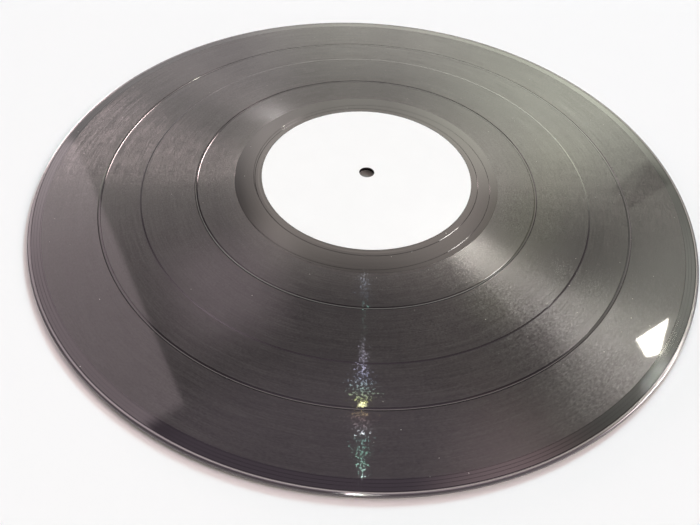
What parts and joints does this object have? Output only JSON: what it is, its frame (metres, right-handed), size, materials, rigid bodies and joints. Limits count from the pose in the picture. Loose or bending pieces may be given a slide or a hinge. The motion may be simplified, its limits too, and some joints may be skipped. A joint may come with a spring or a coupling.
{
  "type": "vinyl record",
  "caption": "Flat round long-playing vinyl record with recorded bands, smooth gaps, a raised centre, plain white paper labels and a spindle hole.",
  "frame": {"origin": "on the spindle hole's axis, level with the underside, which is the face of the side B label", "axes": "+Z runs along the spindle hole and out of side A; +X and +Y lie in the disc, +X to the right and +Y away from the camera in the picture"},
  "size_m": [0.3016, 0.3016, 0.002],
  "materials": {
    "vinyl": "pressed black vinyl, fine radial sheen on the grooved bands and mirror gloss on the smooth gaps and run-out",
    "label_paper": "plain white uncoated paper, pressed smooth"
  },
  "bodies": {
    "root": {"disc": "vinyl", "label_side_a": "label_paper", "label_side_b": "label_paper"}
  },
  "joints": []
}
